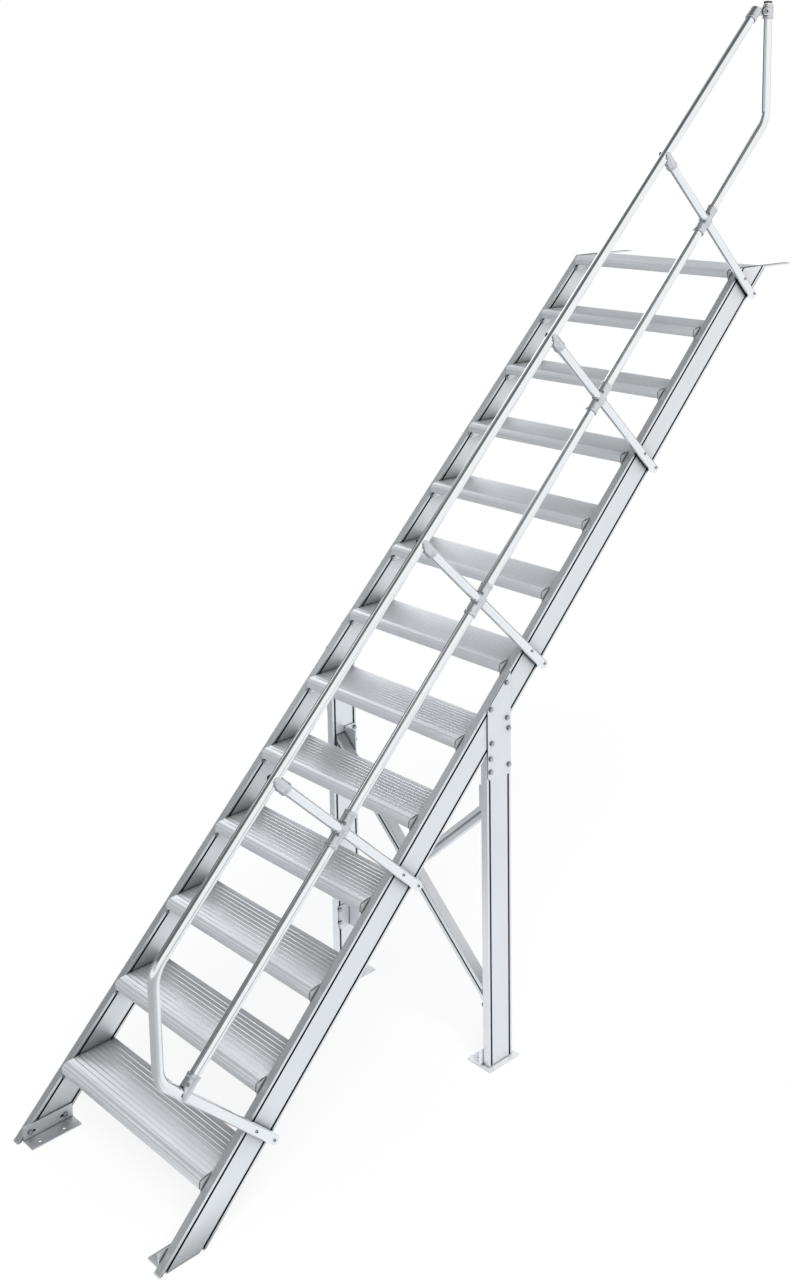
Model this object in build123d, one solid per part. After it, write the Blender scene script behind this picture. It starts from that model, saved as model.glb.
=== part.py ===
"""Aluminium stair ladder at 45 degrees: thirteen ribbed treads between two grooved side rails,
a pair of legs with crossed braces, foot angles, landing straps and a tube handrail on one side.

Design axes: X across the stair from the middle, Y level and away from the user, Z up from the floor.
On the slope a place is given as (s, dep): s runs up the front face of the side rails from the floor
and dep is square to that face, positive into the rail and negative towards the user.
All sizes are millimetres. The finished model is moved so that its origin is at floor level in the
middle of the two floor holes of the right-hand foot angle, on the face that is bolted down.
"""

from build123d import *
import os
from math import cos, radians, sin, tan

os.makedirs("parts", exist_ok=True)

# flight
tread_count = 13
rise = 208.0
slope = 45.0
clear_width = 800.0

# grooved side rail extrusion, also used for the legs
rail_depth = 114.0
rail_thick = 30.0
rail_wall = 2.5
rail_corner = 2.0
groove_inset = 13.0
groove_mouth = 8.4
groove_lip = 2.0
groove_width = 15.0
groove_deep = 6.5
groove_web = 2.0

# treads
tread_nose = 43.0
tread_back = 155.5
tread_height = 36.0
tread_deck = 2.4
tread_web = 2.6
nose_run = 30.0
nose_drop = 16.0
nose_foot = 4.0
nose_chamber = 24.0
nose_chamber_drop = 14.0
rib_count = 9
rib_pitch = 16.6
rib_gap = 6.0
rib_height = 1.4
rib_start = -14.0

# plates on the tread ends
plate_thick = 4.0

# tubes and cast connectors
tube_dia = 33.7
tube_wall = 2.5
bend_radius = 100.0
bend_tail = 60.0
fit_gap = 0.3
cast_wall = 4.2
cast_reach = 60.0
cast_lip = 14.0
socket_floor = 1.0
mouth_gap = 0.2
post_gap = 0.2
post_first = 450.0
post_last = 38.0
post_count = 5
post_overrun = 4.0
knee_height = 318.0
hand_height = 660.0
return_y = 18.0
upright_setback = 114.0
upright_above = 28.0
hand_end_gap = 74.4
cap_thick = 8.0
cap_plug = 15.0
cap_clear = 0.2
knuckle_sleeve = 52.0
knuckle_collar = 52.0
knuckle_drop = 6.0
knuckle_boss = 15.0

# legs
leg_front = 1321.0
gusset_thick = 4.0
gusset_inset = 3.0
gusset_drop = 255.0
gusset_side = 2.5
gusset_corner = 12.0

# braces between the legs
brace_size = 40.0
brace_wall = 2.2
brace_low = 247.0
brace_top_drop = 196.8
brace_end_gap = 5.0
brace_groove = 8.4
brace_groove_deep = 7.0
bracket_thick = 4.0
bracket_height = 92.0
bracket_flange = 52.0
bracket_reach = 66.0
spacer_size = 36.0

# foot angles on the side rails
foot_thick = 5.0
foot_start = 20.0
foot_length = 174.0
foot_height = 52.0
foot_width = 60.0
foot_hole = 13.0
foot_hole_inset = 40.0
foot_hole_pitch = 85.0
foot_hole_shift = -7.0
foot_slot_shift = -2.0
foot_slot = 9.0
foot_slot_length = 24.0
foot_slot_height = 25.0
foot_slot_pitch = 110.0

# foot plates under the legs
leg_foot_margin = 15.0
leg_foot_out = 20.0
leg_foot_in = 65.0
leg_foot_height = 60.0
leg_foot_hole_inset = 32.0
leg_foot_hole_pitch = 85.0

# landing straps
strap_thick = 5.0
strap_width = 30.0
strap_reach = 170.0
strap_down = 120.0
strap_hole = 11.0
strap_hole_end = 30.0
strap_hole_pitch = 90.0

# derived directions and places
UP = sin(radians(slope))
ALONG = cos(radians(slope))
going = rise / tan(radians(slope))
total_rise = tread_count * rise
total_going = tread_count * going
half_width = clear_width / 2
rail_outer = half_width + rail_thick
tube_radius = tube_dia / 2
tube_inner = tube_radius - tube_wall
cast_inner = tube_radius + fit_gap
cast_outer = cast_inner + cast_wall
socket_seat = cast_outer + socket_floor
tube_x = rail_outer + post_gap + tube_radius
post_pitch = (total_rise / UP - post_first - post_last) / (post_count - 1)
upright_y = total_going + upright_setback
hand_end = (upright_y - hand_end_gap + hand_height * UP) / ALONG
upright_top = hand_end * UP + hand_height * ALONG + upright_above
gusset_bottom = leg_front * tan(radians(slope)) - gusset_drop
leg_top = leg_front * tan(radians(slope)) - rail_depth / ALONG
brace_high = leg_top - brace_top_drop
rail_level_depth = rail_depth / UP
bend_tangent = bend_radius * tan(radians(90 - slope) / 2)
foot_hole_middle = foot_start + foot_length / 2 + foot_hole_shift
foot_slot_middle = foot_start + foot_length / 2 + foot_slot_shift


def on_slope(s, dep, x=0.0):
    """The point at s up the slope and dep behind the front face of the side rails."""
    return Vector(x, s * ALONG + dep * UP, s * UP - dep * ALONG)


SLOPE_DIR = Vector(0, ALONG, UP)
POST_DIR = Vector(0, UP, -ALONG)


def box(x0, x1, y0, y1, z0, z1):
    """A block between two corners."""
    return Pos((x0 + x1) / 2, (y0 + y1) / 2, (z0 + z1) / 2) * Box(x1 - x0, y1 - y0, z1 - z0)


def block(x0, x1, y0, y1):
    """A rectangle between two corners, in a sketch."""
    return Pos((x0 + x1) / 2, (y0 + y1) / 2) * Rectangle(x1 - x0, y1 - y0)


def other_side(shape):
    """The mirror image on the left of the stair."""
    return mirror(shape, about=Plane.YZ)


def side_profile(points):
    """A closed outline given as (y, z)."""
    return make_face(Polyline(*points, close=True))


def plate(points, x0, thick, corners=0.0):
    """A flat plate in an upright plane along the stair, from x0 outwards by thick."""
    face = side_profile(points)
    if corners:
        face = fillet(face.vertices(), corners)
    plane = Plane(origin=(x0, 0, 0), x_dir=(0, 1, 0), z_dir=(1, 0, 0))
    return extrude(plane * face, thick)


def cross_hole(x0, x1, y, z, dia):
    """A round hole along X."""
    plane = Plane(origin=(x0, y, z), x_dir=(0, 1, 0), z_dir=(1, 0, 0))
    return extrude(plane * Circle(dia / 2), x1 - x0)


def rod(start, direction, radius, length):
    """A solid round bar from a point along a direction."""
    plane = Plane(origin=start, x_dir=(1, 0, 0), z_dir=direction)
    return extrude(plane * Circle(radius), length)


def tube(start, direction, outer, inner, length):
    """A straight tube from a point along a direction."""
    plane = Plane(origin=start, x_dir=(1, 0, 0), z_dir=direction)
    return extrude(plane * (Circle(outer) - Circle(inner)), length)


def rail_section():
    """Hollow side rail with two T-grooves on each broad face; x is the thickness, y the depth."""
    face = fillet(block(0, rail_thick, 0, rail_depth).vertices(), rail_corner)
    middle = rail_thick / 2
    web = rail_thick - 2 * groove_deep - 2 * groove_web
    for y in (groove_inset, rail_depth - groove_inset):
        for side in (-1, 1):
            skin = middle + side * middle
            floor = skin - side * groove_deep
            lip = skin - side * groove_lip
            face -= block(min(skin, floor), max(skin, floor), y - groove_mouth / 2, y + groove_mouth / 2)
            face -= block(min(lip, floor), max(lip, floor), y - groove_width / 2, y + groove_width / 2)
        face -= block(middle - web / 2, middle + web / 2, y - groove_width / 2, y + groove_width / 2)
    reach = groove_inset + groove_width / 2 + rail_wall
    face -= block(rail_wall, rail_thick - rail_wall, reach, rail_depth - reach)
    return face


def side_rail():
    """Right-hand side rail, cut level at the floor and at the top tread."""
    over = rail_depth / tan(radians(slope)) + rail_depth
    length = total_rise / UP + 2 * over
    plane = Plane(origin=on_slope(-over, 0, half_width), x_dir=(1, 0, 0), z_dir=SLOPE_DIR)
    long_rail = extrude(plane * rail_section(), length)
    far = total_rise / tan(radians(slope)) + rail_level_depth + 2 * over
    return long_rail & box(0, rail_outer + 1, -over, far, 0, total_rise)


def leg():
    """Right-hand leg, its top cut to the slope of the rail that rests on it."""
    height = (leg_front + rail_depth) * tan(radians(slope)) + rail_depth
    plane = Plane(origin=(half_width, leg_front, foot_thick), x_dir=(1, 0, 0), z_dir=(0, 0, 1))
    long_leg = extrude(plane * rail_section(), height)
    under = Plane(origin=on_slope(0, rail_depth), x_dir=(1, 0, 0), z_dir=-POST_DIR)
    return split(long_leg, bisect_by=under, keep=Keep.BOTTOM)


def rounded_front(x0, x1, y0, y1, run, drop):
    """A block whose upper front corner is a quarter of an ellipse, run deep and drop high."""
    corner = block(x0, x0 + run, y1 - drop, y1)
    round_part = Pos(x0 + run, y1 - drop) * Ellipse(run, drop)
    return block(x0, x1, y0, y1) - corner + (round_part & corner)


def tread():
    """One tread, ribbed on top, a closed nosing and rear chamber, open pockets underneath."""
    face = rounded_front(-tread_nose, tread_back, -tread_height, 0, nose_run, nose_drop)
    low_front = face.vertices().group_by(Axis.X)[0].sort_by(Axis.Y)[0]
    face = chamfer(low_front, nose_foot)
    under = -tread_deck - rib_height
    nose_in = -tread_nose + tread_web
    nose_end = nose_in + nose_chamber
    floor = -tread_height + tread_web
    face -= rounded_front(nose_in, nose_end, floor, under, nose_chamber, nose_chamber_drop)
    rear_in = tread_back - tread_web
    face -= block(rear_in - nose_chamber, rear_in, floor, under)
    pocket_start = nose_end + tread_web
    pocket_end = rear_in - nose_chamber - tread_web
    middle = (pocket_start + pocket_end) / 2
    face -= block(pocket_start, middle - tread_web / 2, -tread_height, under)
    face -= block(middle + tread_web / 2, pocket_end, -tread_height, under)
    for n in range(rib_count + 1):
        y = rib_start + n * rib_pitch
        face -= block(y - rib_gap / 2, y + rib_gap / 2, -rib_height, 1)
    length = clear_width - 2 * plate_thick
    plane = Plane(origin=(-length / 2, 0, 0), x_dir=(0, 1, 0), z_dir=(1, 0, 0))
    return extrude(plane * face, length)


def tread_plate():
    """Right-hand end plate of a tread, reaching down to the rail's front groove."""
    outline = [
        (0, -1),
        (-tread_nose + 5, -9),
        (-tread_nose + 2, -29),
        (-tread_nose + 5, -tread_height - 20),
        (-tread_nose + 18, -tread_height - 27),
        (0, -tread_height - 24),
        (40, -tread_height - 4),
        (tread_back - 2, -tread_height - 2),
        (tread_back - 2, -1),
    ]
    return plate(outline, half_width - plate_thick, plate_thick)


def gusset():
    """Right-hand gusset over the joint of leg and rail."""
    y0 = leg_front + gusset_side
    y1 = leg_front + rail_depth - gusset_side
    lift = gusset_inset / ALONG
    outline = [
        (y0, gusset_bottom),
        (y1, gusset_bottom),
        (y1, y1 * tan(radians(slope)) - lift),
        (y0, y0 * tan(radians(slope)) - lift),
    ]
    face = side_profile(outline)
    low = face.vertices().sort_by(Axis.Y)[0:2]
    face = chamfer(low, gusset_corner)
    plane = Plane(origin=(rail_outer, 0, 0), x_dir=(0, 1, 0), z_dir=(1, 0, 0))
    return extrude(plane * face, gusset_thick)


def brace_section():
    """Square tube with one groove in its front face; the groove side is towards -y."""
    half = brace_size / 2
    face = fillet(Rectangle(brace_size, brace_size).vertices(), 2.0)
    bore = half - brace_wall
    face -= block(-bore, bore, -half + brace_groove_deep + brace_wall, bore)
    face -= block(-brace_groove / 2, brace_groove / 2, -half - 1, -half + brace_groove_deep)
    lip = -half + groove_lip
    face -= block(-groove_width / 2, groove_width / 2, lip, -half + brace_groove_deep)
    return face


def brace(rising, y):
    """A brace between the legs in the upright plane y; rising says which way it climbs."""
    sign = 1 if rising else -1
    run = Vector(sign * clear_width, 0, brace_high - brace_low)
    length = run.length
    way = run.normalized()
    middle = Vector(0, y, (brace_high + brace_low) / 2)
    plane = Plane(origin=middle - way * length, x_dir=way.cross(Vector(0, 1, 0)), z_dir=way)
    across = plane.y_dir
    section = brace_section()
    if across.Y < 0:
        section = mirror(section, about=Plane.XZ)
    bar = extrude(plane * section, 2 * length)
    limit = half_width - brace_end_gap
    return bar & box(-limit, limit, y - brace_size, y + brace_size, 0, 2 * brace_high)


def brace_bracket(z, forward):
    """Angle on the right leg's inner face; its flange lies forward or rearward of the web."""
    middle = leg_front + rail_depth / 2
    web0 = middle - bracket_thick / 2
    web1 = middle + bracket_thick / 2
    low = z - bracket_height / 2
    high = z + bracket_height / 2
    if forward:
        flange = box(half_width - bracket_thick, half_width, web1 - bracket_flange, web1, low, high)
    else:
        flange = box(half_width - bracket_thick, half_width, web0, web0 + bracket_flange, low, high)
    web = box(half_width - bracket_reach, half_width, web0, web1, low, high)
    return flange + web


def foot_angle():
    """Right-hand foot angle on the inner face of the rail."""
    y0 = foot_start
    y1 = foot_start + foot_length
    angle = box(half_width - foot_thick, half_width, y0, y1, 0, foot_height)
    angle += box(half_width - foot_width, half_width, y0, y1, 0, foot_thick)
    for side in (-1, 1):
        y = foot_hole_middle + side * foot_hole_pitch / 2
        start = (half_width - foot_hole_inset, y, -1)
        angle -= rod(start, (0, 0, 1), foot_hole / 2, foot_thick + 2)
        slot_y = foot_slot_middle + side * foot_slot_pitch / 2
        plane = Plane(
            origin=(half_width - foot_thick - 1, slot_y, foot_slot_height),
            x_dir=(0, 1, 0),
            z_dir=(1, 0, 0),
        )
        angle -= extrude(plane * SlotOverall(foot_slot_length, foot_slot), foot_thick + 2)
    return angle


def leg_foot():
    """Right-hand foot under a leg: a floor plate with an upright flange on the inner face."""
    y0 = leg_front - leg_foot_margin
    y1 = leg_front + rail_depth + leg_foot_margin
    middle = leg_front + rail_depth / 2
    foot = box(half_width - leg_foot_in, rail_outer + leg_foot_out, y0, y1, 0, foot_thick)
    foot += box(half_width - foot_thick, half_width, y0, y1, 0, leg_foot_height)
    for side in (-1, 1):
        y = middle + side * leg_foot_hole_pitch / 2
        start = (half_width - foot_thick - leg_foot_hole_inset, y, -1)
        foot -= rod(start, (0, 0, 1), foot_hole / 2, foot_thick + 2)
    return foot


def landing_strap():
    """Right-hand strap: down the back of the rail and level on to the landing."""
    top_y = total_rise / tan(radians(slope)) + rail_level_depth
    top_z = total_rise
    corner_y = top_y + strap_thick / UP - strap_thick / tan(radians(slope))
    down = Vector(0, -ALONG, -UP) * strap_down
    back = Vector(0, UP, -ALONG) * strap_thick
    outline = [
        (top_y, top_z),
        (top_y + strap_reach, top_z),
        (top_y + strap_reach, top_z - strap_thick),
        (corner_y, top_z - strap_thick),
        (top_y + down.Y + back.Y, top_z + down.Z + back.Z),
        (top_y + down.Y, top_z + down.Z),
    ]
    body = plate(outline, rail_outer - strap_width, strap_width)
    for n in range(2):
        y = top_y + strap_reach - strap_hole_end - n * strap_hole_pitch
        start = (rail_outer - strap_width / 2, y, top_z - strap_thick - 1)
        body -= rod(start, (0, 0, 1), strap_hole / 2, strap_thick + 2)
    return body


def bent_tube(points):
    """A tube along straight runs joined by arcs, through points given as vectors."""
    path = FilletPolyline(*points, radius=bend_radius)
    start = points[0]
    way = (points[1] - points[0]).normalized()
    plane = Plane(origin=start, x_dir=(1, 0, 0), z_dir=way)
    return sweep(plane * (Circle(tube_radius) - Circle(tube_inner)), path=path)


def post_place(n):
    """Distance up the slope of post n, counted from 0 at the bottom."""
    return post_first + n * post_pitch


# corners of the lower return and of the upright at the top
hand_corner_s = (return_y + hand_height * UP) / ALONG
hand_corner = on_slope(hand_corner_s, -hand_height, tube_x)
low_corner_dep = (return_y - post_first * ALONG) / UP
low_corner = on_slope(post_first, low_corner_dep, tube_x)
knee_corner_s = (upright_y + knee_height * UP) / ALONG
knee_corner = on_slope(knee_corner_s, -knee_height, tube_x)
post_end_dep = rail_depth + post_overrun


def handrail():
    """Straight run of the handrail from the lower bend to the knuckle."""
    start = hand_corner_s + bend_tangent + bend_tail
    return tube(
        on_slope(start, -hand_height, tube_x), SLOPE_DIR, tube_radius, tube_inner, hand_end - start
    )


def handrail_return():
    """Lower end of the handrail: bend, upright stretch, bend and the first post."""
    start = on_slope(hand_corner_s + bend_tangent + bend_tail, -hand_height, tube_x)
    end = on_slope(post_first, post_end_dep, tube_x)
    return bent_tube([start, hand_corner, low_corner, end])


def knee_rail():
    """Straight run of the knee rail from the lower tee to the top bend."""
    start = post_first + socket_seat + fit_gap
    length = knee_corner_s - bend_tangent - bend_tail - start
    return tube(on_slope(start, -knee_height, tube_x), SLOPE_DIR, tube_radius, tube_inner, length)


def knee_rail_top():
    """Bend and upright end of the knee rail."""
    start = on_slope(knee_corner_s - bend_tangent - bend_tail, -knee_height, tube_x)
    end = Vector(tube_x, upright_y, upright_top)
    return bent_tube([start, knee_corner, end])


def post(n):
    """Post n in two lengths, cut to sit on the sleeve round the knee rail."""
    s = post_place(n)
    mouth = rod(
        on_slope(s - cast_reach, -knee_height, tube_x), SLOPE_DIR, cast_outer + mouth_gap, 2 * cast_reach
    )
    low = tube(
        on_slope(s, -knee_height, tube_x), POST_DIR, tube_radius, tube_inner, post_end_dep + knee_height
    )
    high_start = -hand_height + socket_seat + fit_gap
    high = tube(
        on_slope(s, high_start, tube_x), POST_DIR, tube_radius, tube_inner, -knee_height - high_start
    )
    return [low - mouth, high - mouth]


def knee_sleeve(n):
    """Cast sleeve round the knee rail, where the two lengths of a post meet it."""
    start = on_slope(post_place(n) - cast_reach, -knee_height, tube_x)
    return tube(start, SLOPE_DIR, cast_outer, cast_inner, 2 * cast_reach)


def tee(s, dep, through, branch):
    """Cast tee: a tube lies in its mouth, and the end of another sits in its socket."""
    middle = on_slope(s, dep, tube_x)
    body = rod(middle - branch * cast_lip, branch, cast_outer, cast_lip + cast_reach)
    body -= rod(middle - through * 2 * cast_outer, through, cast_inner, 4 * cast_outer)
    body -= rod(middle + branch * socket_seat, branch, cast_inner, cast_reach)
    return body


def rail_saddle(n):
    """Tee under the handrail with its socket over the post's top."""
    return tee(post_place(n), -hand_height, SLOPE_DIR, POST_DIR)


def lower_tee():
    """Tee on the first post that takes the foot of the knee rail."""
    return tee(post_first, -knee_height, POST_DIR, SLOPE_DIR)


def top_knuckle():
    """Socket on the handrail's end, joined by a boss to a collar round the upright."""
    end = on_slope(hand_end, -hand_height, tube_x)
    sleeve_start = on_slope(hand_end - knuckle_sleeve, -hand_height, tube_x)
    collar_top = upright_top - knuckle_drop
    collar_low = Vector(tube_x, upright_y, collar_top - knuckle_collar)
    collar = rod(collar_low, (0, 0, 1), cast_outer, knuckle_collar)
    sleeve = rod(sleeve_start, SLOPE_DIR, cast_outer, knuckle_sleeve + cast_wall)
    boss_y = upright_y - cast_outer - knuckle_boss / 2
    boss_z = collar_top - knuckle_collar / 2
    half_boss = tube_radius / 2
    pivot = cross_hole(tube_x - half_boss, tube_x + half_boss, boss_y, boss_z, 2 * knuckle_boss)
    web = plate(
        [
            (boss_y, boss_z - knuckle_boss),
            (upright_y, boss_z - knuckle_boss),
            (upright_y, boss_z + knuckle_boss),
            (end.Y, end.Z),
            (end.Y - cast_outer * ALONG, end.Z - cast_outer * UP),
        ],
        tube_x - tube_radius / 2,
        tube_radius,
    )
    body = collar + sleeve + pivot + web
    body -= rod(collar_low - Vector(0, 0, knuckle_collar), (0, 0, 1), cast_inner, 3 * knuckle_collar)
    body -= rod(sleeve_start - SLOPE_DIR, SLOPE_DIR, cast_inner, knuckle_sleeve + 1 + fit_gap)
    return body


def end_cap():
    """Plastic cap in the top of the upright."""
    top = Vector(tube_x, upright_y, upright_top)
    body = rod(top, (0, 0, 1), tube_radius, cap_thick)
    body += rod(top - Vector(0, 0, cap_plug), (0, 0, 1), tube_inner - cap_clear, cap_plug)
    return body


# every node, as a list of its solids, in design axes
nodes = {}

right_rail = side_rail()
nodes["right_stringer"] = [right_rail]
nodes["left_stringer"] = [other_side(right_rail)]

one_tread = tread()
one_plate = tread_plate()
right_plates = []
for n in range(1, tread_count + 1):
    place = Pos(0, n * going, n * rise)
    nodes[f"tread_{n:02d}"] = [place * one_tread]
    right_plates.append(place * one_plate)
nodes["right_tread_plates"] = right_plates
nodes["left_tread_plates"] = [other_side(solid) for solid in right_plates]

right_leg = leg()
nodes["right_leg"] = [right_leg]
nodes["left_leg"] = [other_side(right_leg)]
right_gusset = gusset()
nodes["right_gusset"] = [right_gusset]
nodes["left_gusset"] = [other_side(right_gusset)]

leg_middle = leg_front + rail_depth / 2
brace_offset = (brace_size + bracket_thick) / 2
nodes["brace_front"] = [brace(False, leg_middle - brace_offset)]
nodes["brace_rear"] = [brace(True, leg_middle + brace_offset)]
spacer_start = Vector(0, leg_middle - bracket_thick / 2, (brace_low + brace_high) / 2)
spacer_plane = Plane(origin=spacer_start, x_dir=(1, 0, 0), z_dir=(0, 1, 0))
nodes["brace_spacer"] = [extrude(spacer_plane * Rectangle(spacer_size, spacer_size), bracket_thick)]
nodes["right_brace_brackets"] = [
    brace_bracket(brace_low, False),
    brace_bracket(brace_high, True),
]
nodes["left_brace_brackets"] = [
    other_side(brace_bracket(brace_low, True)),
    other_side(brace_bracket(brace_high, False)),
]

right_foot = foot_angle()
nodes["front_foot_right"] = [right_foot]
nodes["front_foot_left"] = [other_side(right_foot)]
right_leg_foot = leg_foot()
nodes["leg_foot_right"] = [right_leg_foot]
nodes["leg_foot_left"] = [other_side(right_leg_foot)]
right_strap = landing_strap()
nodes["landing_strap_right"] = [right_strap]
nodes["landing_strap_left"] = [other_side(right_strap)]

nodes["handrail"] = [handrail()]
nodes["handrail_return"] = [handrail_return()]
nodes["knee_rail"] = [knee_rail()]
nodes["knee_rail_top"] = [knee_rail_top()]
for n in range(1, post_count):
    nodes[f"post_{n + 1}"] = post(n)
nodes["knee_connectors"] = [knee_sleeve(n) for n in range(1, post_count)]
nodes["rail_saddles"] = [rail_saddle(n) for n in range(1, post_count)]
nodes["lower_tee"] = [lower_tee()]
nodes["top_knuckle"] = [top_knuckle()]
nodes["end_cap"] = [end_cap()]

# move the origin on to the underside of the right-hand foot angle, between its floor holes
origin_x = half_width - foot_hole_inset
origin_y = foot_hole_middle
to_origin = Pos(-origin_x, -origin_y, 0)

if __name__ == "__main__":
    for name, solids in nodes.items():
        loose = [piece for part in solids for piece in (to_origin * part).solids()]
        shape = loose[0] if len(loose) == 1 else Compound(children=loose)
        shape.label = name
        export_step(shape, f"parts/{name}.step")
    print("origin at design point", origin_x, origin_y, 0)
    print("bend radius", bend_radius)
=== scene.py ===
# %% [markdown]
# # An aluminium stair ladder, dressed for a photograph
#
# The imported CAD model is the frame: every extrusion, tread, tube and casting already has its true
# size and place. This lesson loads it, gives each metal its own finish, replaces the parts whose
# rounded or ribbed surface needs more care with surfaces worked out by numpy, adds the fasteners,
# and sets up a plain white studio with the camera of the photograph.

# %% Load the frame
import math

import bpy
import numpy as np
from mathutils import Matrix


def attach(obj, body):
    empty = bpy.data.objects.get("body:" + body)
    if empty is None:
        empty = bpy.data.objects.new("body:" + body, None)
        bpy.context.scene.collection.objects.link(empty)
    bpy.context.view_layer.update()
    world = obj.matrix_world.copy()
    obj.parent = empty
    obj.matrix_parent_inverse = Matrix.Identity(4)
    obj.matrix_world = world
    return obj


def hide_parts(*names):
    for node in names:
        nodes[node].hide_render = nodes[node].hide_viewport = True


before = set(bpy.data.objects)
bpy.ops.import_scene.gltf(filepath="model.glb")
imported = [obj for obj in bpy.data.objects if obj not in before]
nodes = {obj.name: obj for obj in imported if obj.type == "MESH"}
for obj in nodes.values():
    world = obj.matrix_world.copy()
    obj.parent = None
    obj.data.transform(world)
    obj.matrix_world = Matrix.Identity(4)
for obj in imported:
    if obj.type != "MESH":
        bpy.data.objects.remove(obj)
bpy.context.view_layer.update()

print("nodes in the frame:", len(nodes))

# %% [markdown]
# ## Where things are
#
# The maker's drawing counts millimetres from the middle of the stair at the floor line, with X
# across the stair, Y level and away from the user and Z up. The frame's own origin is under the
# right-hand foot, so each place is moved once, here, and turned into metres. On the 45 degree slope
# it is easier to think in two lengths: s runs up the front face of the side rails, and dep is square
# to it, into the rail.

# %% Places and directions
ORIGIN = np.array([360.0, 100.0, 0.0])
HALF_RIGHT = math.sqrt(0.5)
UP_SLOPE = np.array([0.0, HALF_RIGHT, HALF_RIGHT])
INTO_RAIL = np.array([0.0, HALF_RIGHT, -HALF_RIGHT])
ACROSS = np.array([1.0, 0.0, 0.0])
VERTICAL = np.array([0.0, 0.0, 1.0])


def in_frame(points):
    """Design millimetres to frame metres: take away the origin's place, then divide by 1000."""
    return (np.asarray(points, float) - ORIGIN) / 1000.0


def slope_point(s, dep, x):
    """x across; s along the slope plus dep square to it, both turned by 45 degrees."""
    s, dep, x = np.broadcast_arrays(np.asarray(s, float), dep, x)
    return x[..., None] * ACROSS + s[..., None] * UP_SLOPE + dep[..., None] * INTO_RAIL


print("front foot of the rail:", in_frame(slope_point(0, 0, 400)).round(4))

# %% [markdown]
# ## From rings of points to a mesh
#
# Nearly every new piece here is a skin over rings: ring i holds the points that go once round the
# piece, and the next ring lies a little further along it. A face joins each pair of neighbours on
# two rings. The rings of many equal pieces, such as bolts, are stacked in one array and meshed
# together. The enclosed volume says whether the faces point outwards, and they are turned if not.

# %% Skin over rings
def face_volume(points, faces):
    """Sum over the faces of a third of (mean corner dot area vector): the volume they enclose."""
    corners = points[faces]
    area = 0.5 * np.cross(corners, np.roll(corners, -1, axis=1)).sum(axis=1)
    return float((corners.mean(axis=1) * area).sum() / 3.0)


def skin(name, rings, finish, smooth=True, looped=False):
    """rings[c, i, j] is point j of ring i of copy c, in frame metres. Each ring closes on itself.
    The end rings get a flat face, or, if looped, the last ring joins the first."""
    rings = np.asarray(rings, float)
    if rings.ndim == 3:
        rings = rings[None]
    copies, rows, columns, _ = rings.shape
    number = np.arange(copies * rows * columns).reshape(copies, rows, columns)
    here = number if looped else number[:, :-1]
    there = np.roll(number, -1, axis=1) if looped else number[:, 1:]
    quads = np.stack([here, np.roll(here, -1, 2), np.roll(there, -1, 2), there], -1).reshape(-1, 4)
    points = rings.reshape(-1, 3)
    volume = face_volume(points, quads)
    faces = quads.tolist()
    if not looped:
        ends = np.concatenate([number[:, 0, ::-1], number[:, -1]])
        volume += face_volume(points, ends)
        faces += ends.tolist()
    if volume < 0:
        faces = [face[::-1] for face in faces]
    mesh = bpy.data.meshes.new(name)
    mesh.from_pydata(points.tolist(), [], faces)
    mesh.polygons.foreach_set("use_smooth", np.full(len(faces), smooth))
    if smooth:
        mesh.set_sharp_from_angle(angle=math.radians(32))
    mesh.materials.append(finish)
    piece = bpy.data.objects.new(name, mesh)
    bpy.context.scene.collection.objects.link(piece)
    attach(piece, "root")
    print(f"{name}: {len(faces)} faces, {abs(volume) * 1e6:.1f} cubic centimetres")
    return piece


# %% [markdown]
# ## Finishes
#
# All of the stair is aluminium, but it is not one finish. A bar pressed through a die keeps fine
# lines along its length; a drawn tube is smoother; a casting is blasted and dull; plates are rolled
# and cut. One helper makes them all: a noise stretched along the piece gives the die lines, a broad
# noise gives the faint clouds of an etched surface, and a fine one the grain. They move the
# roughness and the bump a little and the colour very little, which is what reads as bare metal.

# %% Node helpers
def new_finish(name):
    """A material with its node tree and its one shader."""
    finish = bpy.data.materials.new(name)
    finish.use_nodes = True
    tree = finish.node_tree
    return finish, tree, tree.nodes["Principled BSDF"]


def node(tree, kind, links=(), **values):
    """A new node with its input values, its settings and its links from other sockets."""
    made = tree.nodes.new(kind)
    for key, value in values.items():
        if key in made.inputs:
            made.inputs[key].default_value = value
        else:
            setattr(made, key, value)
    for socket, source in links:
        tree.links.new(source, made.inputs[socket])
    return made


def stretched_noise(tree, turn, size, detail=3.0, roughness=0.55):
    """Noise whose grain is size metres in the axes of the piece after the turn."""
    place = node(tree, "ShaderNodeTexCoord")
    frame_node = node(tree, "ShaderNodeMapping", vector_type="TEXTURE")
    frame_node.inputs["Rotation"].default_value = turn
    frame_node.inputs["Scale"].default_value = size
    tree.links.new(place.outputs["Object"], frame_node.inputs["Vector"])
    noise = node(tree, "ShaderNodeTexNoise", [("Vector", frame_node.outputs["Vector"])])
    noise.inputs["Scale"].default_value = 1.0
    noise.inputs["Detail"].default_value = detail
    noise.inputs["Roughness"].default_value = roughness
    return noise.outputs["Fac"]


def between(tree, factor, low, high):
    """A number that goes from low to high as the factor goes from 0.25 to 0.75."""
    spread = node(tree, "ShaderNodeMapRange", [("Value", factor)])
    spread.inputs["From Min"].default_value = 0.25
    spread.inputs["From Max"].default_value = 0.75
    spread.inputs["To Min"].default_value = low
    spread.inputs["To Max"].default_value = high
    return spread.outputs["Result"]


def total(tree, first, second):
    """The sum of two numbers from sockets."""
    both = node(tree, "ShaderNodeMath", operation="ADD")
    tree.links.new(first, both.inputs[0])
    tree.links.new(second, both.inputs[1])
    return both.outputs[0]


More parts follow.
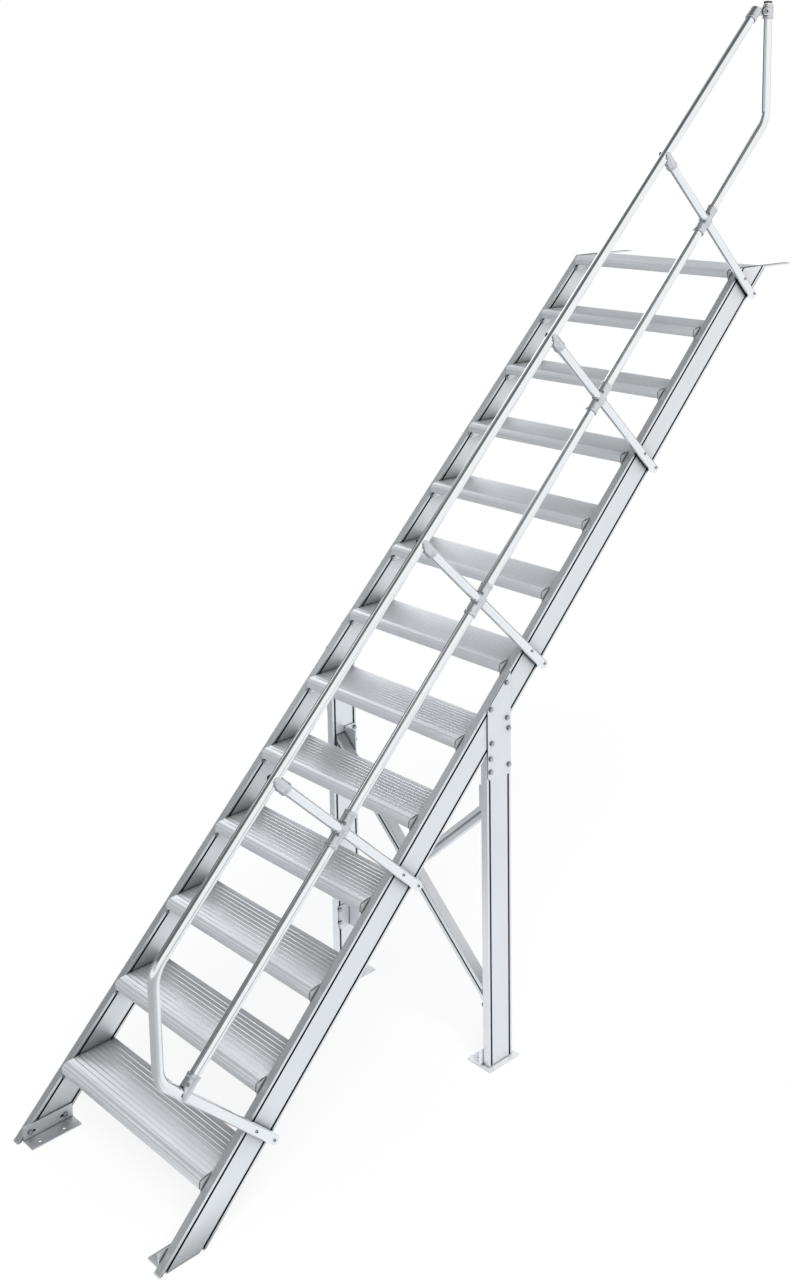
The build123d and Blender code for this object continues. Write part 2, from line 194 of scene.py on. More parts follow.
def hollow_shade(tree, colour, reach, darkest_shade, closed=0.25, free=0.8):
    """Painted shade: the colour, darkened in hollows. Where at least the free share of the view within
    reach is open it stays, and it falls to the darkest share of itself where only the closed share is open."""
    open_sky = node(tree, "ShaderNodeAmbientOcclusion", Distance=reach, samples=6)
    keep = node(tree, "ShaderNodeMapRange", [("Value", open_sky.outputs["AO"])])
    keep.inputs["From Min"].default_value = closed
    keep.inputs["From Max"].default_value = free
    keep.inputs["To Min"].default_value = darkest_shade
    keep.inputs["To Max"].default_value = 1.0
    dim = node(tree, "ShaderNodeMix", data_type="RGBA", blend_type="MULTIPLY")
    dim.inputs["Factor"].default_value = 1.0
    tree.links.new(colour, dim.inputs["A"])
    tree.links.new(keep.outputs["Result"], dim.inputs["B"])
    return dim.outputs["Result"]


def painted_shade_below(tree, colour, left):
    """Painted shade: the colour, falling to the left share of itself on faces that look straight down."""
    facing = node(tree, "ShaderNodeNewGeometry")
    downward = node(tree, "ShaderNodeVectorMath", operation="DOT_PRODUCT")
    tree.links.new(facing.outputs["Normal"], downward.inputs[0])
    downward.inputs[1].default_value = (0, 0, -1)
    keep = node(tree, "ShaderNodeMapRange", [("Value", downward.outputs["Value"])])
    keep.inputs["From Min"].default_value = 0.55
    keep.inputs["From Max"].default_value = 0.9
    keep.inputs["To Min"].default_value = 1.0
    keep.inputs["To Max"].default_value = left
    dim = node(tree, "ShaderNodeMix", data_type="RGBA", blend_type="MULTIPLY")
    dim.inputs["Factor"].default_value = 1.0
    tree.links.new(colour, dim.inputs["A"])
    tree.links.new(keep.outputs["Result"], dim.inputs["B"])
    return dim.outputs["Result"]


def dusty_and_shaded(tree, colour):
    """The colour, less the share that the piece's own value for dust and painted shade gives at each point.
    """
    dust_and_shade = node(tree, "ShaderNodeAttribute", attribute_name="dust_and_shade")
    keep = node(tree, "ShaderNodeMath", operation="SUBTRACT")
    keep.inputs[0].default_value = 1.0
    tree.links.new(dust_and_shade.outputs["Fac"], keep.inputs[1])
    dim = node(tree, "ShaderNodeMix", data_type="RGBA", blend_type="MULTIPLY")
    dim.inputs["Factor"].default_value = 1.0
    tree.links.new(colour, dim.inputs["A"])
    tree.links.new(keep.outputs[0], dim.inputs["B"])
    return dim.outputs["Result"]


def metal(name, pale, deep, rough, turn=(0, 0, 0), lines=0.05, line_size=0.0009, line_length=1.5,
          grain=0.0006, grain_bump=0.05, cloud=0.18, hollow=0.012, darkest_shade=0.1, corner=1.0,
          bare=1.0, shade_below=1.0):
    """Bare metal: die lines along the turned Z axis, broad clouds, a fine grain, and painted shade
    that darkens every narrow hollow. corner is what is left of the colour deep in a wide inner
    corner, where a tread meets a rail, as painted shade. bare is 1 for clean metal, less for etched
    metal, whose skin scatters some of the light. The last argument is what is left of the colour
    underneath, as painted shade on faces that look down."""
    finish, tree, shader = new_finish(name)
    shader.inputs["Metallic"].default_value = bare
    die_lines = stretched_noise(tree, turn, (line_size, line_size, line_length))
    clouds = stretched_noise(tree, turn, (cloud, cloud, cloud * 2.5), 2.0)
    speckle = stretched_noise(tree, turn, (grain, grain, grain), 1.0)
    tint = node(tree, "ShaderNodeMix", data_type="RGBA")
    tree.links.new(between(tree, clouds, 0.0, 1.0), tint.inputs["Factor"])
    tint.inputs["A"].default_value = (*deep, 1)
    tint.inputs["B"].default_value = (*pale, 1)
    # Painted shade: the colour darkens in narrow hollows, by how little of the room they see.
    colour = hollow_shade(tree, tint.outputs["Result"], hollow, darkest_shade)
    # Painted shade: a longer reach darkens wide inner corners, where a tread meets a rail.
    if corner < 1.0:
        colour = hollow_shade(tree, colour, 0.15, corner, 0.5, 0.92)
    # Painted shade: faces that look down keep only part of their colour.
    # The tread's tooth lines darken the colour: partly dust, partly painted shade.
    if shade_below < 1.0:
        colour = dusty_and_shaded(tree, painted_shade_below(tree, colour, shade_below))
    tree.links.new(colour, shader.inputs["Base Color"])
    wander = total(tree, between(tree, die_lines, -lines, lines), between(tree, clouds, 0.03, -0.03))
    level = node(tree, "ShaderNodeMath", operation="ADD")
    tree.links.new(wander, level.inputs[0])
    level.inputs[1].default_value = rough
    tree.links.new(level.outputs[0], shader.inputs["Roughness"])
    relief = total(tree, between(tree, die_lines, 0, lines * 6), between(tree, speckle, 0, grain_bump * 6))
    bump = node(tree, "ShaderNodeBump", [("Height", relief)])
    bump.inputs["Strength"].default_value = 0.25
    bump.inputs["Distance"].default_value = 0.0001
    tree.links.new(bump.outputs["Normal"], shader.inputs["Normal"])
    return finish


# %% [markdown]
# The side rails run up the slope, the legs stand upright and the treads lie across, so each gets
# its die lines along its own length. The tubes are cleaner and a little brighter, the castings grey
# and matt, and the plates in between. The bolts are zinc plated and sharper in their shine.

# %% The metals
SLOPE_TURN = (math.radians(-45), 0, 0)
POST_TURN = (math.radians(45), 0, 0)
ACROSS_TURN = (0, math.radians(90), 0)

# corner darkens the colour with painted shade where a tread meets a rail.
rail_metal = metal("rail extrusion", (0.83, 0.84, 0.86), (0.78, 0.79, 0.81), 0.42, SLOPE_TURN,
                   corner=0.4)
leg_metal = metal("leg extrusion", (0.83, 0.84, 0.86), (0.78, 0.79, 0.81), 0.42)
# The tread's corner value and its value for the underside are painted shade.
tread_metal = metal("tread extrusion", (0.80, 0.81, 0.83), (0.74, 0.75, 0.77), 0.32, ACROSS_TURN,
                    corner=0.3, bare=0.7, shade_below=0.3)
plate_metal = metal("cut plate", (0.80, 0.81, 0.83), (0.72, 0.73, 0.75), 0.48, lines=0.02,
                    grain_bump=0.08)
foot_metal = metal("foot plate", (0.90, 0.91, 0.92), (0.84, 0.85, 0.87), 0.5, lines=0.02,
                   grain_bump=0.08, bare=0.45)
brace_metal = metal("brace extrusion", (0.80, 0.81, 0.83), (0.74, 0.75, 0.77), 0.42,
                    (0, math.radians(48), 0))
tube_metal = metal("drawn tube along the slope", (0.89, 0.90, 0.91), (0.84, 0.85, 0.87), 0.14,
                   SLOPE_TURN, lines=0.03)
post_metal = metal("drawn tube of the posts", (0.89, 0.90, 0.91), (0.84, 0.85, 0.87), 0.17,
                   POST_TURN, lines=0.03)
cast_metal = metal("blasted casting", (0.70, 0.71, 0.73), (0.60, 0.61, 0.63), 0.34, lines=0.0,
                   grain=0.0011, grain_bump=0.25, cloud=0.03)
zinc_metal = metal("zinc plate", (0.52, 0.53, 0.55), (0.40, 0.41, 0.44), 0.28, lines=0.0,
                   grain=0.002, grain_bump=0.03, cloud=0.01)

# %% [markdown]
# The cap in the top of the upright is moulded black plastic: not a metal, dull, with a fine
# leathery grain from the mould.

# %% The plastic
cap_plastic, cap_tree, cap_shader = new_finish("black plastic")
cap_grain = stretched_noise(cap_tree, (0, 0, 0), (0.0008, 0.0008, 0.0008), 2.0)
cap_tint = node(cap_tree, "ShaderNodeMix", data_type="RGBA")
cap_tree.links.new(between(cap_tree, cap_grain, 0.0, 1.0), cap_tint.inputs["Factor"])
cap_tint.inputs["A"].default_value = (0.018, 0.018, 0.02, 1)
cap_tint.inputs["B"].default_value = (0.035, 0.035, 0.038, 1)
cap_tree.links.new(cap_tint.outputs["Result"], cap_shader.inputs["Base Color"])
cap_tree.links.new(between(cap_tree, cap_grain, 0.42, 0.58), cap_shader.inputs["Roughness"])
cap_bump = node(cap_tree, "ShaderNodeBump", [("Height", cap_grain)])
cap_bump.inputs["Strength"].default_value = 0.3
cap_bump.inputs["Distance"].default_value = 0.0002
cap_tree.links.new(cap_bump.outputs["Normal"], cap_shader.inputs["Normal"])

# %% Give the CAD nodes their finishes
def dress(name, finish):
    """Puts one finish in every material slot of a CAD node."""
    for place in nodes[name].material_slots:
        place.material = finish


def kind_of(name):
    """The finish that suits a node, from its name."""
    if "stringer" in name or "gusset" in name:
        return rail_metal
    if name.endswith("_leg"):
        return leg_metal
    if name.startswith("tread_"):
        return tread_metal
    if name in ("brace_front", "brace_rear"):
        return brace_metal
    if name.startswith("post_"):
        return post_metal
    if "rail" in name and "saddle" not in name:
        return tube_metal
    if name in ("knee_connectors", "rail_saddles", "lower_tee", "top_knuckle"):
        return cast_metal
    if name.startswith("leg_foot"):
        return foot_metal
    if name == "end_cap":
        return cap_plastic
    return plate_metal


for name in nodes:
    dress(name, kind_of(name))
print("dressed", len(nodes), "nodes")

# %% [markdown]
# ## Treads
#
# A tread is an extrusion: one section, pressed out to 792 mm. What the eye reads on it is the
# grip: raked teeth 0.9 mm high, like a very flat saw, whose long faces and short back faces catch
# different parts of the room, and a nosing round enough for a shin. The section is written as
# heights over a fine row of places from front to back, so the teeth are real shapes and not a
# painted pattern; the underside follows the CAD section with its two pockets. That closed outline
# is then carried straight across the stair. Every point of the mesh also gets a value for a soft
# dark line at the foot of each tooth, partly dust and partly painted shade in the crease. The
# upper treads, seen at a flat angle, get a stronger line.

# %% The tread's section
RISE = 208.0
TREAD_FRONT, TREAD_BACK, TREAD_END = -43.0, 155.5, 396.0
TOOTH_PITCH, TOOTH_HEIGHT = 16.6, 0.9
NOSE_RUN, NOSE_DROP = 30.0, 16.0
GROOVES = -14.0 + TOOTH_PITCH * np.arange(10)


def tread_top(y):
    """Height of the walking surface at y: raked teeth that rise over four fifths of each pitch
    and fall back over the rest of it; in front the nosing, a quarter of an ellipse."""
    phase = ((y - GROOVES[0]) / TOOTH_PITCH) % 1.0
    teeth = TOOTH_HEIGHT * (np.minimum(phase / 0.8, (1.0 - phase) / 0.2) - 1.0)
    height = np.where((y > GROOVES[-1] + 13.2) | (y < GROOVES[0] - 3.4), 0.0, teeth)
    nose = np.clip((TREAD_FRONT + NOSE_RUN - y) / NOSE_RUN, 0.0, 1.0)
    return height - NOSE_DROP * (1.0 - np.sqrt(1.0 - nose**2))


def tread_section():
    """The closed outline as (y, z): over the top from front to back, down the back, and home
    along the underside round the two pockets."""
    nose = TREAD_FRONT + NOSE_RUN * (1.0 - np.cos(np.linspace(0.0, np.pi / 2, 19)))
    fine = np.arange(GROOVES[0] - 8.3, GROOVES[-1] + 8.4, 0.83)
    nose = nose[nose < fine[0] - 0.2]
    y = np.concatenate([nose, fine, [TREAD_BACK - 1.0, TREAD_BACK]])
    over = np.column_stack([y, tread_top(y)])
    over[-1, 1] -= 1.0
    turn = np.linspace(0.0, np.pi / 2, 6)[1:-1]
    foot = np.column_stack([-40.0 - 3.0 * np.sin(turn), -33.0 - 3.0 * np.cos(turn)])
    under = np.array([
        (155.5, -36), (126.3, -36), (126.3, -3.8), (56.45, -3.8), (56.45, -36), (53.85, -36),
        (53.85, -3.8), (-13.8, -3.8), (-13.8, -36), (-40, -36),
    ], float)
    return np.concatenate([over, under, foot, [(-43.0, -33.0)]])


section = tread_section()
print("points in the tread's section:", len(section))


# %% Carry it across the stair
def carry_across(outline, x0, x1, y, z):
    """The outline at both ends of a straight run along X, moved to y and z."""
    ring = np.column_stack([np.zeros(len(outline)), outline[:, 0] + y, outline[:, 1] + z])
    return in_frame(np.stack([ring + (x0, 0, 0), ring + (x1, 0, 0)]))


def mark_dust_and_shade(tread, number, strength):
    """A value per point of the mesh: the strength times a bell curve of the distance from the
    foot of the nearest tooth, e to the power of minus (distance over 2.4) squared, on top only. It
    makes a dark line in the crease, partly dust and partly painted shade."""
    points = np.empty(len(tread.data.vertices) * 3)
    tread.data.vertices.foreach_get("co", points)
    points = points.reshape(-1, 3) * 1000.0
    y = points[:, 1] + ORIGIN[1] - number * RISE
    up = points[:, 2] - number * RISE > -2.0
    half = TOOTH_PITCH / 2
    foot = np.abs((y - GROOVES[0] + half) % TOOTH_PITCH - half)
    toothed = (y > GROOVES[0] - 3.0) & (y < GROOVES[-1] + 3.0) & up
    dust_and_shade = tread.data.attributes.new("dust_and_shade", "FLOAT", "POINT")
    dust_and_shade.data.foreach_set("value", np.where(toothed, strength * np.exp(-((foot / 2.4) ** 2)), 0.0))


for number in range(1, 14):
    rings = carry_across(section, -TREAD_END, TREAD_END, number * RISE, number * RISE)
    tread = skin(f"tread_{number:02d}_ribbed", rings, tread_metal)
    # The line is stronger on the upper treads: painted shade where they are seen at a flat angle.
    strength = min(0.1 + 0.05 * max(number - 3, 0), 0.4) + 0.12 * max(number - 9, 0)
    mark_dust_and_shade(tread, number, strength)
    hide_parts(f"tread_{number:02d}")

# %% [markdown]
# ## Tubes
#
# The handrail side is one family of 33.7 mm tube, the size of one-inch pipe fittings. A drawn tube
# is perfectly round, so each is a circle carried along its route: straight runs, joined by arcs
# where the pipe was bent. The wall is real too: the rings run up the outside and back down the
# bore, which closes the skin at both rims.

# %% Routes and tubes
BEND = 100.0
TUBE, TUBE_BORE = 16.85, 14.35
CAST, CAST_BORE = 21.35, 17.15
TUBE_X = 430.2 + TUBE
SOCKET_SEAT = CAST + 1.3


def rounded_route(corners, radius, pieces=14):
    """Straight runs with each corner replaced by an arc of the radius: the arc's points are its
    centre plus the radius times (cosine of one side direction and sine of the other)."""
    corners = np.asarray(corners, float)
    parts = [corners[:1]]
    for before, corner, after in zip(corners[:-2], corners[1:-1], corners[2:]):
        back = (before - corner) / np.linalg.norm(before - corner)
        ahead = (after - corner) / np.linalg.norm(after - corner)
        half = 0.5 * math.acos(float(back @ ahead))
        middle = (back + ahead) / np.linalg.norm(back + ahead)
        centre = corner + middle * radius / math.sin(half)
        start = corner + back * radius / math.tan(half) - centre
        end = corner + ahead * radius / math.tan(half) - centre
        sweep = math.pi - 2 * half
        t = np.linspace(0.0, 1.0, pieces)[:, None]
        arc = (np.sin((1 - t) * sweep) * start + np.sin(t * sweep) * end) / math.sin(sweep)
        parts.append(centre + arc)
    parts.append(corners[-1:])
    return np.concatenate(parts)


def tube_rings(route, outer=TUBE, inner=TUBE_BORE, around=48):
    """A circle square to the route at each of its points: out along the outside, back along the
    bore. All routes lie in one upright plane, so X is always one side direction."""
    ahead = np.gradient(route, axis=0)
    ahead[0] = route[1] - route[0]
    ahead[-1] = route[-1] - route[-2]
    ahead /= np.linalg.norm(ahead, axis=1)[:, None]
    side = np.cross(ahead, ACROSS)
    angle = np.linspace(0.0, 2 * np.pi, around, endpoint=False)
    wheel = (np.cos(angle)[None, :, None] * ACROSS + np.sin(angle)[None, :, None] * side[:, None, :])
    outside = route[:, None, :] + outer * wheel
    bore = (route[:, None, :] + inner * wheel)[::-1]
    return in_frame(np.concatenate([outside, bore]))


HAND, KNEE = 660.0, 318.0
FIRST_POST, POST_FOOT = 450.0, 118.0
HAND_END = 4540.0
UPRIGHT_Y, UPRIGHT_TOP = 2818.0, 3705.0
tangent = BEND * math.tan(math.radians(22.5))
corner_s = 18.0 / HALF_RIGHT + HAND
hand_corner = slope_point(corner_s, -HAND, TUBE_X)
low_corner = slope_point(FIRST_POST, 18.0 / HALF_RIGHT - FIRST_POST, TUBE_X)
run_start = slope_point(corner_s + tangent + 60.0, -HAND, TUBE_X)
post_end = slope_point(FIRST_POST, POST_FOOT, TUBE_X)
return_route = rounded_route([run_start, hand_corner, low_corner, post_end], BEND)
lower = skin("handrail_return_tube", tube_rings(return_route), tube_metal, looped=True)
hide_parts("handrail_return")

run = np.array([run_start, slope_point(HAND_END, -HAND, TUBE_X)])
straight = skin("handrail_tube", tube_rings(run), tube_metal, looped=True)
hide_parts("handrail")

# %% Knee rail and posts
knee_corner_s = UPRIGHT_Y / HALF_RIGHT + KNEE
knee_corner = slope_point(knee_corner_s, -KNEE, TUBE_X)
bend_start = slope_point(knee_corner_s - tangent - 60.0, -KNEE, TUBE_X)
upright_top = np.array([TUBE_X, UPRIGHT_Y, UPRIGHT_TOP])
top_route = rounded_route([bend_start, knee_corner, upright_top], BEND)
top_tube = skin("knee_rail_top_tube", tube_rings(top_route), tube_metal, looped=True)
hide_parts("knee_rail_top")

knee_run = np.array([slope_point(FIRST_POST + SOCKET_SEAT, -KNEE, TUBE_X), bend_start])
knee = skin("knee_rail_tube", tube_rings(knee_run), tube_metal, looped=True)
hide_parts("knee_rail")

# %% [markdown]
# ## Posts
#
# A post is one tube in the real stair, drilled and bolted through; here it is two lengths that
# meet the cast sleeve round the knee rail. Their ends there are cut to the sleeve's round, which
# welders call a fish mouth: for each direction round the post, the end stops where its line meets
# the sleeve, at the root of (sleeve radius squared minus the sideways distance squared).

# %% Posts with mouths
POST_PITCH = 834.0
POSTS = FIRST_POST + POST_PITCH * np.arange(5)
around = np.linspace(0.0, 2 * np.pi, 48, endpoint=False)


def mouth_height(sideways, radius):
    """How far from the sleeve's middle its surface lies, at that distance to the side of it."""
    return np.sqrt(np.maximum(radius**2 - sideways**2, 0.0))


def post_length(s, mouth_sign, far_end):
    """Rings of one length of post: its mouth on the sleeve, its flat far end, and the bore back.
    mouth_sign is +1 where it leaves the sleeve into the rail and -1 towards the handrail."""
    rings = []
    for radius, ends in ((TUBE, ("mouth", "far")), (TUBE_BORE, ("far", "mouth"))):
        side = radius * np.cos(around)
        along = radius * np.sin(around)
        mouth = -KNEE + mouth_sign * (mouth_height(side, CAST) + 0.2)
        dep = {"mouth": mouth, "far": np.full(48, far_end)}
        rings += [slope_point(s + along, dep[end], TUBE_X + side) for end in ends]
    return in_frame(np.stack(rings))


for number, s in enumerate(POSTS[1:], start=2):
    rings = np.stack([post_length(s, 1, POST_FOOT), post_length(s, -1, -HAND + SOCKET_SEAT)])
    tubes = skin(f"post_{number}_tubes", rings, post_metal, looped=True)
    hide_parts(f"post_{number}")

# %% [markdown]
# ## Cast fittings
#
# Each joint of the handrail is a grey aluminium casting: a sleeve with a thicker rim at its open
# ends, so that it doesn't split when its screw is tightened. A plain sleeve is a profile turned
# round its tube. The tees are turned too, but their lower edge follows the tube that they sit on:
# the same fish mouth as the posts', with two short ears that reach down past its middle.

# %% Sleeves round the knee rail
def turned(profile, centres, way, other):
    """Profile rows (along, radius) turned round the way direction at every centre: each ring is
    centre plus along times way plus radius times (cosine of X and sine of the other side)."""
    profile = np.asarray(profile, float)
    wheel = np.cos(around)[:, None] * ACROSS + np.sin(around)[:, None] * np.asarray(other)
    shape = profile[:, 0, None, None] * np.asarray(way) + profile[:, 1, None, None] * wheel
    return in_frame(np.atleast_2d(centres)[:, None, None, :] + shape[None])


def rim(at, inward, outer=CAST, bore=CAST_BORE):
    """Profile rows of a rim from the bore outwards: a rounded bead 10 mm long, then the body."""
    body = outer - 1.5
    steps = [(0, bore), (0, outer - 1.0), (0.4, outer - 0.3), (1.2, outer), (9, outer),
             (10.5, outer - 0.4), (12, body + 0.2), (13.5, body)]
    return [(at + inward * a, r) for a, r in steps]


swell = [(-15.0, CAST - 1.5), (-8.0, CAST - 0.2), (0.0, CAST), (8.0, CAST - 0.2), (15.0, CAST - 1.5)]
sleeve_profile = rim(-60.0, 1) + swell + rim(60.0, -1)[::-1]
knee_crossings = slope_point(POSTS[1:], -KNEE, TUBE_X)
sleeves = skin(
    "knee_sleeves_cast", turned(sleeve_profile, knee_crossings, UP_SLOPE, INTO_RAIL), cast_metal,
    looped=True,
)
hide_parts("knee_connectors")


# %% Lips where the posts enter the sleeves
def lip_rings(s, sign, height=5.0):
    """A low collar round a post: its foot and its top both follow the sleeve's round, its top a
    little higher, and its edge is rounded in two steps."""
    rows = []
    for radius, lift in ((20.4, -1.5), (20.0, height - 1.2), (19.4, height), (17.0, height)):
        side = radius * np.cos(around)
        along = radius * np.sin(around)
        dep = -KNEE + sign * (mouth_height(side, CAST - 0.4) + lift)
        rows.append(slope_point(s + along, dep, TUBE_X + side))
    return in_frame(np.stack(rows))


lips = np.stack([lip_rings(s, sign) for s in POSTS[1:] for sign in (1, -1)])
skin("sleeve_lips_cast", lips, cast_metal)


# %% Tees
def tee_rings(centre, branch, through, reach=60.0, ear=13.5):
    """Outside from the mouth to the rim, then the bore back. The lower edge follows the tube in
    the mouth; further to the side than three quarters of its radius the ear reaches down past it.
    At each share of the way up, a ring's level is the edge plus that share of what is left."""
    shoulder = reach - 13.5
    share = np.array([0.0, 0.02, 0.05, 0.1, 0.2, 0.35, 0.6, 0.85])
    outside = CAST - np.array([2.6, 1.6, 1.0, 0.6, 0.35, 0.35, 0.7, 1.2])
    bead = rim(reach, -1)[:0:-1]

    def edge_at(radius):
        side = radius * np.abs(np.cos(around))
        over = np.clip((side - 0.75 * CAST_BORE) / (radius - 0.75 * CAST_BORE), 0.0, 1.0)
        return mouth_height(side, CAST_BORE + 0.1) * (1 - over) - ear * over**2 * (3 - 2 * over)

    rows = [(r, edge_at(r) + part * (shoulder - edge_at(r))) for r, part in zip(outside, share)]
    rows += [(r, np.full(48, a)) for a, r in bead]
    rows += [(CAST_BORE, np.full(48, reach)), (CAST_BORE, edge_at(CAST_BORE) + 0.4)]
    radius = np.array([r for r, _ in rows])[:, None, None]
    level = np.array([height for _, height in rows])[:, :, None]
    wheel = np.cos(around)[:, None] * ACROSS + np.sin(around)[:, None] * through
    return in_frame(centre + radius * wheel + level * branch)


saddle_places = slope_point(POSTS[1:], -HAND, TUBE_X)
saddle_rings = np.stack([tee_rings(place, INTO_RAIL, UP_SLOPE) for place in saddle_places])
saddles = skin("rail_saddles_cast", saddle_rings, cast_metal, looped=True)
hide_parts("rail_saddles")
tee_place = slope_point(FIRST_POST, -KNEE, TUBE_X)
tee = skin(
    "lower_tee_cast", tee_rings(tee_place, UP_SLOPE, INTO_RAIL), cast_metal, looped=True
)
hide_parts("lower_tee")

# %% [markdown]
# ## Knuckle and cap
#
# At the top the handrail meets the upright at an angle, so this fitting is a small hinge: a sleeve
# on the handrail, a collar on the upright, and a round boss between them with a screw through it.
# Sleeve and collar are turned like the others; the tongue between them is a rounded outline that is
# carried through its thickness, with its edges drawn in at both faces.

# %% Knuckle
PIVOT_Y, PIVOT_Z = 2786.0, 3673.0
hand_tip = slope_point(HAND_END - 0.15, -HAND, TUBE_X)
closed_end = [(-6.0, 0.0), (-2.0, 0.2), (1.5, 1.4), (3.6, 4.0), (4.2, 8.0), (4.2, CAST - 2.0)]
hand_sleeve = rim(-52.0, 1)[1:] + [(a, CAST - 1.5 - drop) for a, drop in closed_end]
skin("knuckle_sleeve_cast", turned(hand_sleeve, hand_tip, UP_SLOPE, INTO_RAIL), cast_metal)
collar_profile = rim(-26.0, 1)[:-2] + rim(26.0, -1)[:-2][::-1]
collar_middle = np.array([TUBE_X, UPRIGHT_Y, 3672.96])
LEVEL = np.array([0.0, 1.0, 0.0])
collar = skin("knuckle_collar_cast", turned(collar_profile, collar_middle, VERTICAL, LEVEL), cast_metal,
              looped=True)
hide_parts("top_knuckle")


def slab_rings(outline, middle_x, thick, edge=1.2):
    """An outline of (y, z) carried through its thickness along X; the first and last ring are
    drawn in by the edge towards the outline's middle, which rounds the slab."""
    outline = np.asarray(outline, float)
    centre = outline.mean(axis=0)
    away = outline - centre
    small = centre + away * (1 - edge / np.linalg.norm(away, axis=1)[:, None])
    rows = []
    for shift, ring in ((-thick / 2, small), (-thick / 2 + edge, outline), (thick / 2 - edge, outline),
                        (thick / 2, small)):
        rows.append(np.column_stack([np.full(len(ring), middle_x + shift), ring]))
    return in_frame(np.stack(rows))


def stadium(start, end, first, last, steps=16):
    """The outline round two circles in the Y-Z plane: half a turn round each, joined by lines."""
    start, end = np.asarray(start, float), np.asarray(end, float)
    heading = math.atan2(end[1] - start[1], end[0] - start[0])
    turn = np.linspace(-np.pi / 2, np.pi / 2, steps)
    front = end + last * np.column_stack([np.cos(heading + turn), np.sin(heading + turn)])
    back = start + first * np.column_stack([np.cos(heading + np.pi + turn), np.sin(heading + np.pi + turn)])
    return np.concatenate([front, back])


tongue = stadium(hand_tip[1:] - (12.0, 12.0), (PIVOT_Y, PIVOT_Z), 15.0, 14.5)
skin("knuckle_tongue_cast", slab_rings(tongue, TUBE_X, 16.0), cast_metal)
fork = stadium((PIVOT_Y, PIVOT_Z), (PIVOT_Y + 20.0, PIVOT_Z), 14.5, 14.5)
forks = np.stack([slab_rings(fork, TUBE_X + 12.5, 7.0), slab_rings(fork, TUBE_X - 12.5, 7.0)])
skin("knuckle_fork_cast", forks, cast_metal)

# %% Cap
crown = np.linspace(0.0, np.pi / 2, 8)
cap_profile = [(-2.0, 14.2), (0.05, 14.2), (0.05, TUBE), (3.2, TUBE)]
cap_profile += [(3.2 + 4.7 * math.sin(a), TUBE - 4.5 * (1 - math.cos(a))) for a in crown[1:]]
cap_profile += [(7.95, 6.0)]
cap = skin("end_cap_moulded", turned(cap_profile, upright_top, VERTICAL, LEVEL), cap_plastic)
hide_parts("end_cap")

# %% [markdown]
# ## Bolts
#
# Dozens of bolts hold the stair together. They are all one shape: a washer, a six-sided head and
# the chamfer that rounds its top. Round the axis the head's radius is half its width over flats
# divided by the cosine of the angle from the nearest flat's middle, which is how a hexagon is
# written in polar form. All bolts of a group are worked out in one array, one copy per bolt.

# %% Hexagon bolts
def bolt_rings(centres, way, flats=13.0, height=5.3, washer=8.4, washer_thick=1.6):
    """Rings from the seat outwards for every centre at once: two for the washer, three for the
    head. way is the direction in which the heads stand out."""
    way = np.asarray(way, float)
    way = way / np.linalg.norm(way)
    helper = VERTICAL if abs(way[2]) < 0.9 else ACROSS
    first = np.cross(way, helper)
    first /= np.linalg.norm(first)
    second = np.cross(way, first)
    angle = np.linspace(0.0, 2 * np.pi, 24, endpoint=False)
    hexagon = flats / 2 / np.cos((angle + np.pi / 6) % (np.pi / 3) - np.pi / 6)
    circle = np.ones(24)
    top = washer_thick + height
    radius = np.stack([
        washer * circle, washer * circle, hexagon, hexagon, np.minimum(hexagon, flats * 0.51),
        flats * 0.475 * circle,
    ])
    lift = np.array([0.0, washer_thick, washer_thick, top - 0.8, top - 0.45, top])
    wheel = np.cos(angle)[:, None] * first + np.sin(angle)[:, None] * second
    shape = radius[:, :, None] * wheel + lift[:, None, None] * way
    return in_frame(np.asarray(centres, float)[:, None, None, :] + shape[None])


def mirrored(places):
    """The same places on the left of the stair."""
    return np.asarray(places, float) * (-1.0, 1.0, 1.0)


steps = RISE * np.arange(1, 14)
front_bolt = np.column_stack([np.full(13, TREAD_END), steps + 18.38 - 49.0, steps - 49.0])
rear_bolt = np.column_stack([np.full(13, TREAD_END), steps + 142.84 - 25.9, steps - 25.9])
plate_places = np.concatenate([front_bolt, rear_bolt])
skin("bolts_in_right_plates", bolt_rings(rear_bolt, (-1, 0, 0)), zinc_metal,
     smooth=False)
skin("bolts_in_left_plates", bolt_rings(mirrored(plate_places), (1, 0, 0)), zinc_metal,
     smooth=False)

gusset_places = np.array([
    (434, 1338, 1320), (434, 1413, 1395), (434, 1342, 1198), (434, 1415, 1269),
    (434, 1335, 1145), (434, 1422, 1230), (434, 1335, 1098), (434, 1422, 1099),
], float)
skin("bolts_in_right_gusset", bolt_rings(gusset_places, (1, 0, 0)), zinc_metal,
     smooth=False)
skin("bolts_in_left_gusset", bolt_rings(mirrored(gusset_places), (-1, 0, 0)), zinc_metal,
     smooth=False)

# %% More bolts: braces and feet
brace_places = np.array([
    (396, 1423, 993), (396, 1423, 943), (396, 1332, 279), (396, 1332, 226), (396, 1382, 293),
    (396, 1396, 261),
], float)
foot_places = np.array([(394, 43, 25), (394, 167, 25)], float)
inner_places = np.concatenate([brace_places, foot_places])
skin("bolts_inside_right", bolt_rings(inner_places, (-1, 0, 0)), zinc_metal,
     smooth=False)
skin("bolts_inside_left", bolt_rings(mirrored(inner_places), (1, 0, 0)), zinc_metal,
     smooth=False)

# %% [markdown]
# ## Round-headed screws
#
# The tubes and their fittings are held by small screws with a round head and a socket for a key.
# The head is turned: a low edge, a dome, and down into the socket, which shows dark. The posts'
# screws face outwards, square to the stair. The castings' screws are turned half a right angle
# towards the user, where they don't stand out past the castings.

